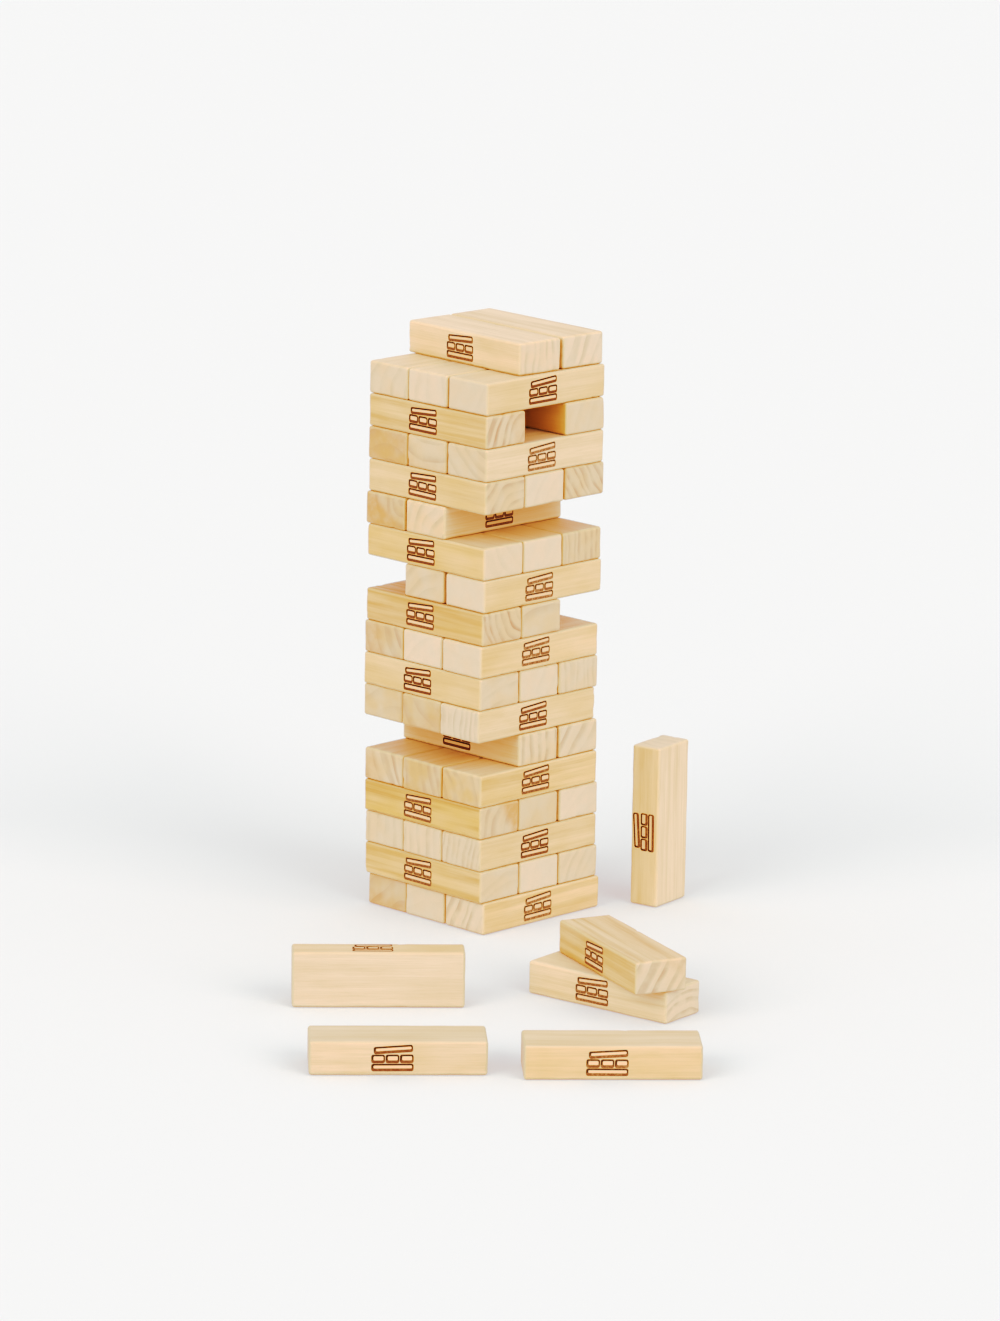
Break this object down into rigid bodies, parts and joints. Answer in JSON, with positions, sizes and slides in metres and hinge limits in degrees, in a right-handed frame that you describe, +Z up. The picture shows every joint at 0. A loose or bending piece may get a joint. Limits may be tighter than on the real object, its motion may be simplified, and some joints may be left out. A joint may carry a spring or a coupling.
{
  "type": "tumbling tower game",
  "caption": "Giant tumbling tower of equal wooden blocks, stacked crosswise in layers and caught in mid-play, with empty slots in the stack and drawn-out blocks standing and lying beside it.",
  "frame": {"origin": "centre of the tower's square footprint, on the ground", "axes": "+Z up; the blocks of odd layers lie along X and those of even layers along Y; most of the drawn-out blocks lie towards -X and -Y"},
  "size_m": [0.8212, 0.7572, 0.6801],
  "materials": {
    "wood": "pale close-grained wood, sanded smooth, no varnish",
    "ink": "flat dark brown stamp printed on the wood"
  },
  "bodies": {
    "layer_01_front": {"layer_01_front": "wood"},
    "layer_01_middle": {"layer_01_middle": "wood"},
    "layer_01_back": {"layer_01_back": "wood"},
    "layer_02_left": {"layer_02_left": "wood"},
    "layer_02_middle": {"layer_02_middle": "wood"},
    "layer_02_right": {"layer_02_right": "wood"},
    "layer_03_front": {"layer_03_front": "wood"},
    "layer_03_middle": {"layer_03_middle": "wood"},
    "layer_03_back": {"layer_03_back": "wood"},
    "layer_04_left": {"layer_04_left": "wood"},
    "layer_04_middle": {"layer_04_middle": "wood"},
    "layer_04_right": {"layer_04_right": "wood"},
    "layer_05_front": {"layer_05_front": "wood"},
    "layer_05_middle": {"layer_05_middle": "wood"},
    "layer_05_back": {"layer_05_back": "wood"},
    "layer_06_middle": {"layer_06_middle": "wood"},
    "layer_06_right": {"layer_06_right": "wood"},
    "layer_07_front": {"layer_07_front": "wood"},
    "layer_07_middle": {"layer_07_middle": "wood"},
    "layer_07_back": {"layer_07_back": "wood"},
    "layer_08_left": {"layer_08_left": "wood"},
    "layer_08_middle": {"layer_08_middle": "wood"},
    "layer_08_right": {"layer_08_right": "wood"},
    "layer_09_front": {"layer_09_front": "wood"},
    "layer_09_middle": {"layer_09_middle": "wood"},
    "layer_09_back": {"layer_09_back": "wood"},
    "layer_10_left": {"layer_10_left": "wood"},
    "layer_10_middle": {"layer_10_middle": "wood"},
    "layer_11_front": {"layer_11_front": "wood"},
    "layer_11_middle": {"layer_11_middle": "wood"},
    "layer_12_left": {"layer_12_left": "wood"},
    "layer_12_middle": {"layer_12_middle": "wood"},
    "layer_12_right": {"layer_12_right": "wood"},
    "layer_13_middle": {"layer_13_middle": "wood"},
    "layer_13_back": {"layer_13_back": "wood"},
    "layer_14_left": {"layer_14_left": "wood"},
    "layer_14_middle": {"layer_14_middle": "wood"},
    "layer_14_right": {"layer_14_right": "wood"},
    "layer_15_front": {"layer_15_front": "wood"},
    "layer_15_middle": {"layer_15_middle": "wood"},
    "layer_15_back": {"layer_15_back": "wood"},
    "layer_16_left": {"layer_16_left": "wood"},
    "layer_16_right": {"layer_16_right": "wood"},
    "layer_17_front": {"layer_17_front": "wood"},
    "layer_17_middle": {"layer_17_middle": "wood"},
    "layer_17_back": {"layer_17_back": "wood"},
    "layer_18_middle": {"layer_18_middle": "wood"},
    "layer_18_right": {"layer_18_right": "wood"},
    "loose_upright": {"loose_upright": "wood"},
    "loose_on_edge": {"loose_on_edge": "wood"},
    "loose_flat_left": {"loose_flat_left": "wood"},
    "loose_flat_right": {"loose_flat_right": "wood"},
    "loose_stack_lower": {"loose_stack_lower": "wood"},
    "loose_stack_upper": {"loose_stack_upper": "wood"}
  },
  "joints": [
    {"name": "layer_01_front_slide", "type": "slide", "parent": "layer_01_middle", "child": "layer_01_front", "axis": [1, 0, 0], "range_m": [-0.2, 0.2]},
    {"name": "layer_01_back_slide", "type": "slide", "parent": "layer_01_middle", "child": "layer_01_back", "axis": [1, 0, 0], "range_m": [-0.2, 0.2]},
    {"name": "layer_02_left_slide", "type": "slide", "parent": "layer_01_middle", "child": "layer_02_left", "axis": [0, 1, 0], "range_m": [-0.2, 0.2]},
    {"name": "layer_02_middle_slide", "type": "slide", "parent": "layer_01_middle", "child": "layer_02_middle", "axis": [0, 1, 0], "range_m": [-0.2, 0.2]},
    {"name": "layer_02_right_slide", "type": "slide", "parent": "layer_01_middle", "child": "layer_02_right", "axis": [0, 1, 0], "range_m": [-0.2, 0.2]},
    {"name": "layer_03_front_slide", "type": "slide", "parent": "layer_01_middle", "child": "layer_03_front", "axis": [1, 0, 0], "range_m": [-0.2, 0.2]},
    {"name": "layer_03_middle_slide", "type": "slide", "parent": "layer_01_middle", "child": "layer_03_middle", "axis": [1, 0, 0], "range_m": [-0.2, 0.2]},
    {"name": "layer_03_back_slide", "type": "slide", "parent": "layer_01_middle", "child": "layer_03_back", "axis": [1, 0, 0], "range_m": [-0.2, 0.2]},
    {"name": "layer_04_left_slide", "type": "slide", "parent": "layer_01_middle", "child": "layer_04_left", "axis": [0, 1, 0], "range_m": [-0.2, 0.2]},
    {"name": "layer_04_middle_slide", "type": "slide", "parent": "layer_01_middle", "child": "layer_04_middle", "axis": [0, 1, 0], "range_m": [-0.2, 0.2]},
    {"name": "layer_04_right_slide", "type": "slide", "parent": "layer_01_middle", "child": "layer_04_right", "axis": [0, 1, 0], "range_m": [-0.2, 0.2]},
    {"name": "layer_05_front_slide", "type": "slide", "parent": "layer_01_middle", "child": "layer_05_front", "axis": [1, 0, 0], "range_m": [-0.2, 0.2]},
    {"name": "layer_05_middle_slide", "type": "slide", "parent": "layer_01_middle", "child": "layer_05_middle", "axis": [1, 0, 0], "range_m": [-0.2, 0.2]},
    {"name": "layer_05_back_slide", "type": "slide", "parent": "layer_01_middle", "child": "layer_05_back", "axis": [1, 0, 0], "range_m": [-0.2, 0.2]},
    {"name": "layer_06_middle_slide", "type": "slide", "parent": "layer_01_middle", "child": "layer_06_middle", "axis": [0, 1, 0], "range_m": [-0.2, 0.2]},
    {"name": "layer_06_right_slide", "type": "slide", "parent": "layer_01_middle", "child": "layer_06_right", "axis": [0, 1, 0], "range_m": [-0.2, 0.2]},
    {"name": "layer_07_front_slide", "type": "slide", "parent": "layer_01_middle", "child": "layer_07_front", "axis": [1, 0, 0], "range_m": [-0.2, 0.2]},
    {"name": "layer_07_middle_slide", "type": "slide", "parent": "layer_01_middle", "child": "layer_07_middle", "axis": [1, 0, 0], "range_m": [-0.2, 0.2]},
    {"name": "layer_07_back_slide", "type": "slide", "parent": "layer_01_middle", "child": "layer_07_back", "axis": [1, 0, 0], "range_m": [-0.2, 0.2]},
    {"name": "layer_08_left_slide", "type": "slide", "parent": "layer_01_middle", "child": "layer_08_left", "axis": [0, 1, 0], "range_m": [-0.2, 0.2]},
    {"name": "layer_08_middle_slide", "type": "slide", "parent": "layer_01_middle", "child": "layer_08_middle", "axis": [0, 1, 0], "range_m": [-0.2, 0.2]},
    {"name": "layer_08_right_slide", "type": "slide", "parent": "layer_01_middle", "child": "layer_08_right", "axis": [0, 1, 0], "range_m": [-0.2, 0.2]},
    {"name": "layer_09_front_slide", "type": "slide", "parent": "layer_01_middle", "child": "layer_09_front", "axis": [1, 0, 0], "range_m": [-0.2, 0.2]},
    {"name": "layer_09_middle_slide", "type": "slide", "parent": "layer_01_middle", "child": "layer_09_middle", "axis": [1, 0, 0], "range_m": [-0.2, 0.2]},
    {"name": "layer_09_back_slide", "type": "slide", "parent": "layer_01_middle", "child": "layer_09_back", "axis": [1, 0, 0], "range_m": [-0.2, 0.2]},
    {"name": "layer_10_left_slide", "type": "slide", "parent": "layer_01_middle", "child": "layer_10_left", "axis": [0, 1, 0], "range_m": [-0.2, 0.2]},
    {"name": "layer_10_middle_slide", "type": "slide", "parent": "layer_01_middle", "child": "layer_10_middle", "axis": [0, 1, 0], "range_m": [-0.2, 0.2]},
    {"name": "layer_11_front_slide", "type": "slide", "parent": "layer_01_middle", "child": "layer_11_front", "axis": [1, 0, 0], "range_m": [-0.2, 0.2]},
    {"name": "layer_11_middle_slide", "type": "slide", "parent": "layer_01_middle", "child": "layer_11_middle", "axis": [1, 0, 0], "range_m": [-0.2, 0.2]},
    {"name": "layer_12_left_slide", "type": "slide", "parent": "layer_01_middle", "child": "layer_12_left", "axis": [0, 1, 0], "range_m": [-0.2, 0.2]},
    {"name": "layer_12_middle_slide", "type": "slide", "parent": "layer_01_middle", "child": "layer_12_middle", "axis": [0, 1, 0], "range_m": [-0.2, 0.2]},
    {"name": "layer_12_right_slide", "type": "slide", "parent": "layer_01_middle", "child": "layer_12_right", "axis": [0, 1, 0], "range_m": [-0.2, 0.2]},
    {"name": "layer_13_middle_slide", "type": "slide", "parent": "layer_01_middle", "child": "layer_13_middle", "axis": [1, 0, 0], "range_m": [-0.2, 0.2]},
    {"name": "layer_13_back_slide", "type": "slide", "parent": "layer_01_middle", "child": "layer_13_back", "axis": [1, 0, 0], "range_m": [-0.2, 0.2]},
    {"name": "layer_14_left_slide", "type": "slide", "parent": "layer_01_middle", "child": "layer_14_left", "axis": [0, 1, 0], "range_m": [-0.2, 0.2]},
    {"name": "layer_14_middle_slide", "type": "slide", "parent": "layer_01_middle", "child": "layer_14_middle", "axis": [0, 1, 0], "range_m": [-0.2, 0.2]},
    {"name": "layer_14_right_slide", "type": "slide", "parent": "layer_01_middle", "child": "layer_14_right", "axis": [0, 1, 0], "range_m": [-0.2, 0.2]},
    {"name": "layer_15_front_slide", "type": "slide", "parent": "layer_01_middle", "child": "layer_15_front", "axis": [1, 0, 0], "range_m": [-0.2, 0.2]},
    {"name": "layer_15_middle_slide", "type": "slide", "parent": "layer_01_middle", "child": "layer_15_middle", "axis": [1, 0, 0], "range_m": [-0.2, 0.2]},
    {"name": "layer_15_back_slide", "type": "slide", "parent": "layer_01_middle", "child": "layer_15_back", "axis": [1, 0, 0], "range_m": [-0.2, 0.2]},
    {"name": "layer_16_left_slide", "type": "slide", "parent": "layer_01_middle", "child": "layer_16_left", "axis": [0, 1, 0], "range_m": [-0.2, 0.2]},
    {"name": "layer_16_right_slide", "type": "slide", "parent": "layer_01_middle", "child": "layer_16_right", "axis": [0, 1, 0], "range_m": [-0.2, 0.2]},
    {"name": "layer_17_front_slide", "type": "slide", "parent": "layer_01_middle", "child": "layer_17_front", "axis": [1, 0, 0], "range_m": [-0.2, 0.2]},
    {"name": "layer_17_middle_slide", "type": "slide", "parent": "layer_01_middle", "child": "layer_17_middle", "axis": [1, 0, 0], "range_m": [-0.2, 0.2]},
    {"name": "layer_17_back_slide", "type": "slide", "parent": "layer_01_middle", "child": "layer_17_back", "axis": [1, 0, 0], "range_m": [-0.2, 0.2]},
    {"name": "layer_18_middle_lift", "type": "slide", "parent": "layer_01_middle", "child": "layer_18_middle", "axis": [0, 0, 1], "range_m": [0, 0.15]},
    {"name": "layer_18_right_lift", "type": "slide", "parent": "layer_01_middle", "child": "layer_18_right", "axis": [0, 0, 1], "range_m": [0, 0.15]},
    {"name": "loose_upright_lift", "type": "slide", "parent": "layer_01_middle", "child": "loose_upright", "axis": [0, 0, 1], "range_m": [0, 0.15]},
    {"name": "loose_on_edge_lift", "type": "slide", "parent": "layer_01_middle", "child": "loose_on_edge", "axis": [0, 0, 1], "range_m": [0, 0.15]},
    {"name": "loose_flat_left_lift", "type": "slide", "parent": "layer_01_middle", "child": "loose_flat_left", "axis": [0, 0, 1], "range_m": [0, 0.15]},
    {"name": "loose_flat_right_lift", "type": "slide", "parent": "layer_01_middle", "child": "loose_flat_right", "axis": [0, 0, 1], "range_m": [0, 0.15]},
    {"name": "loose_stack_lower_lift", "type": "slide", "parent": "layer_01_middle", "child": "loose_stack_lower", "axis": [0, 0, 1], "range_m": [0, 0.15]},
    {"name": "loose_stack_upper_lift", "type": "slide", "parent": "loose_stack_lower", "child": "loose_stack_upper", "axis": [0, 0, 1], "range_m": [0, 0.15]}
  ]
}
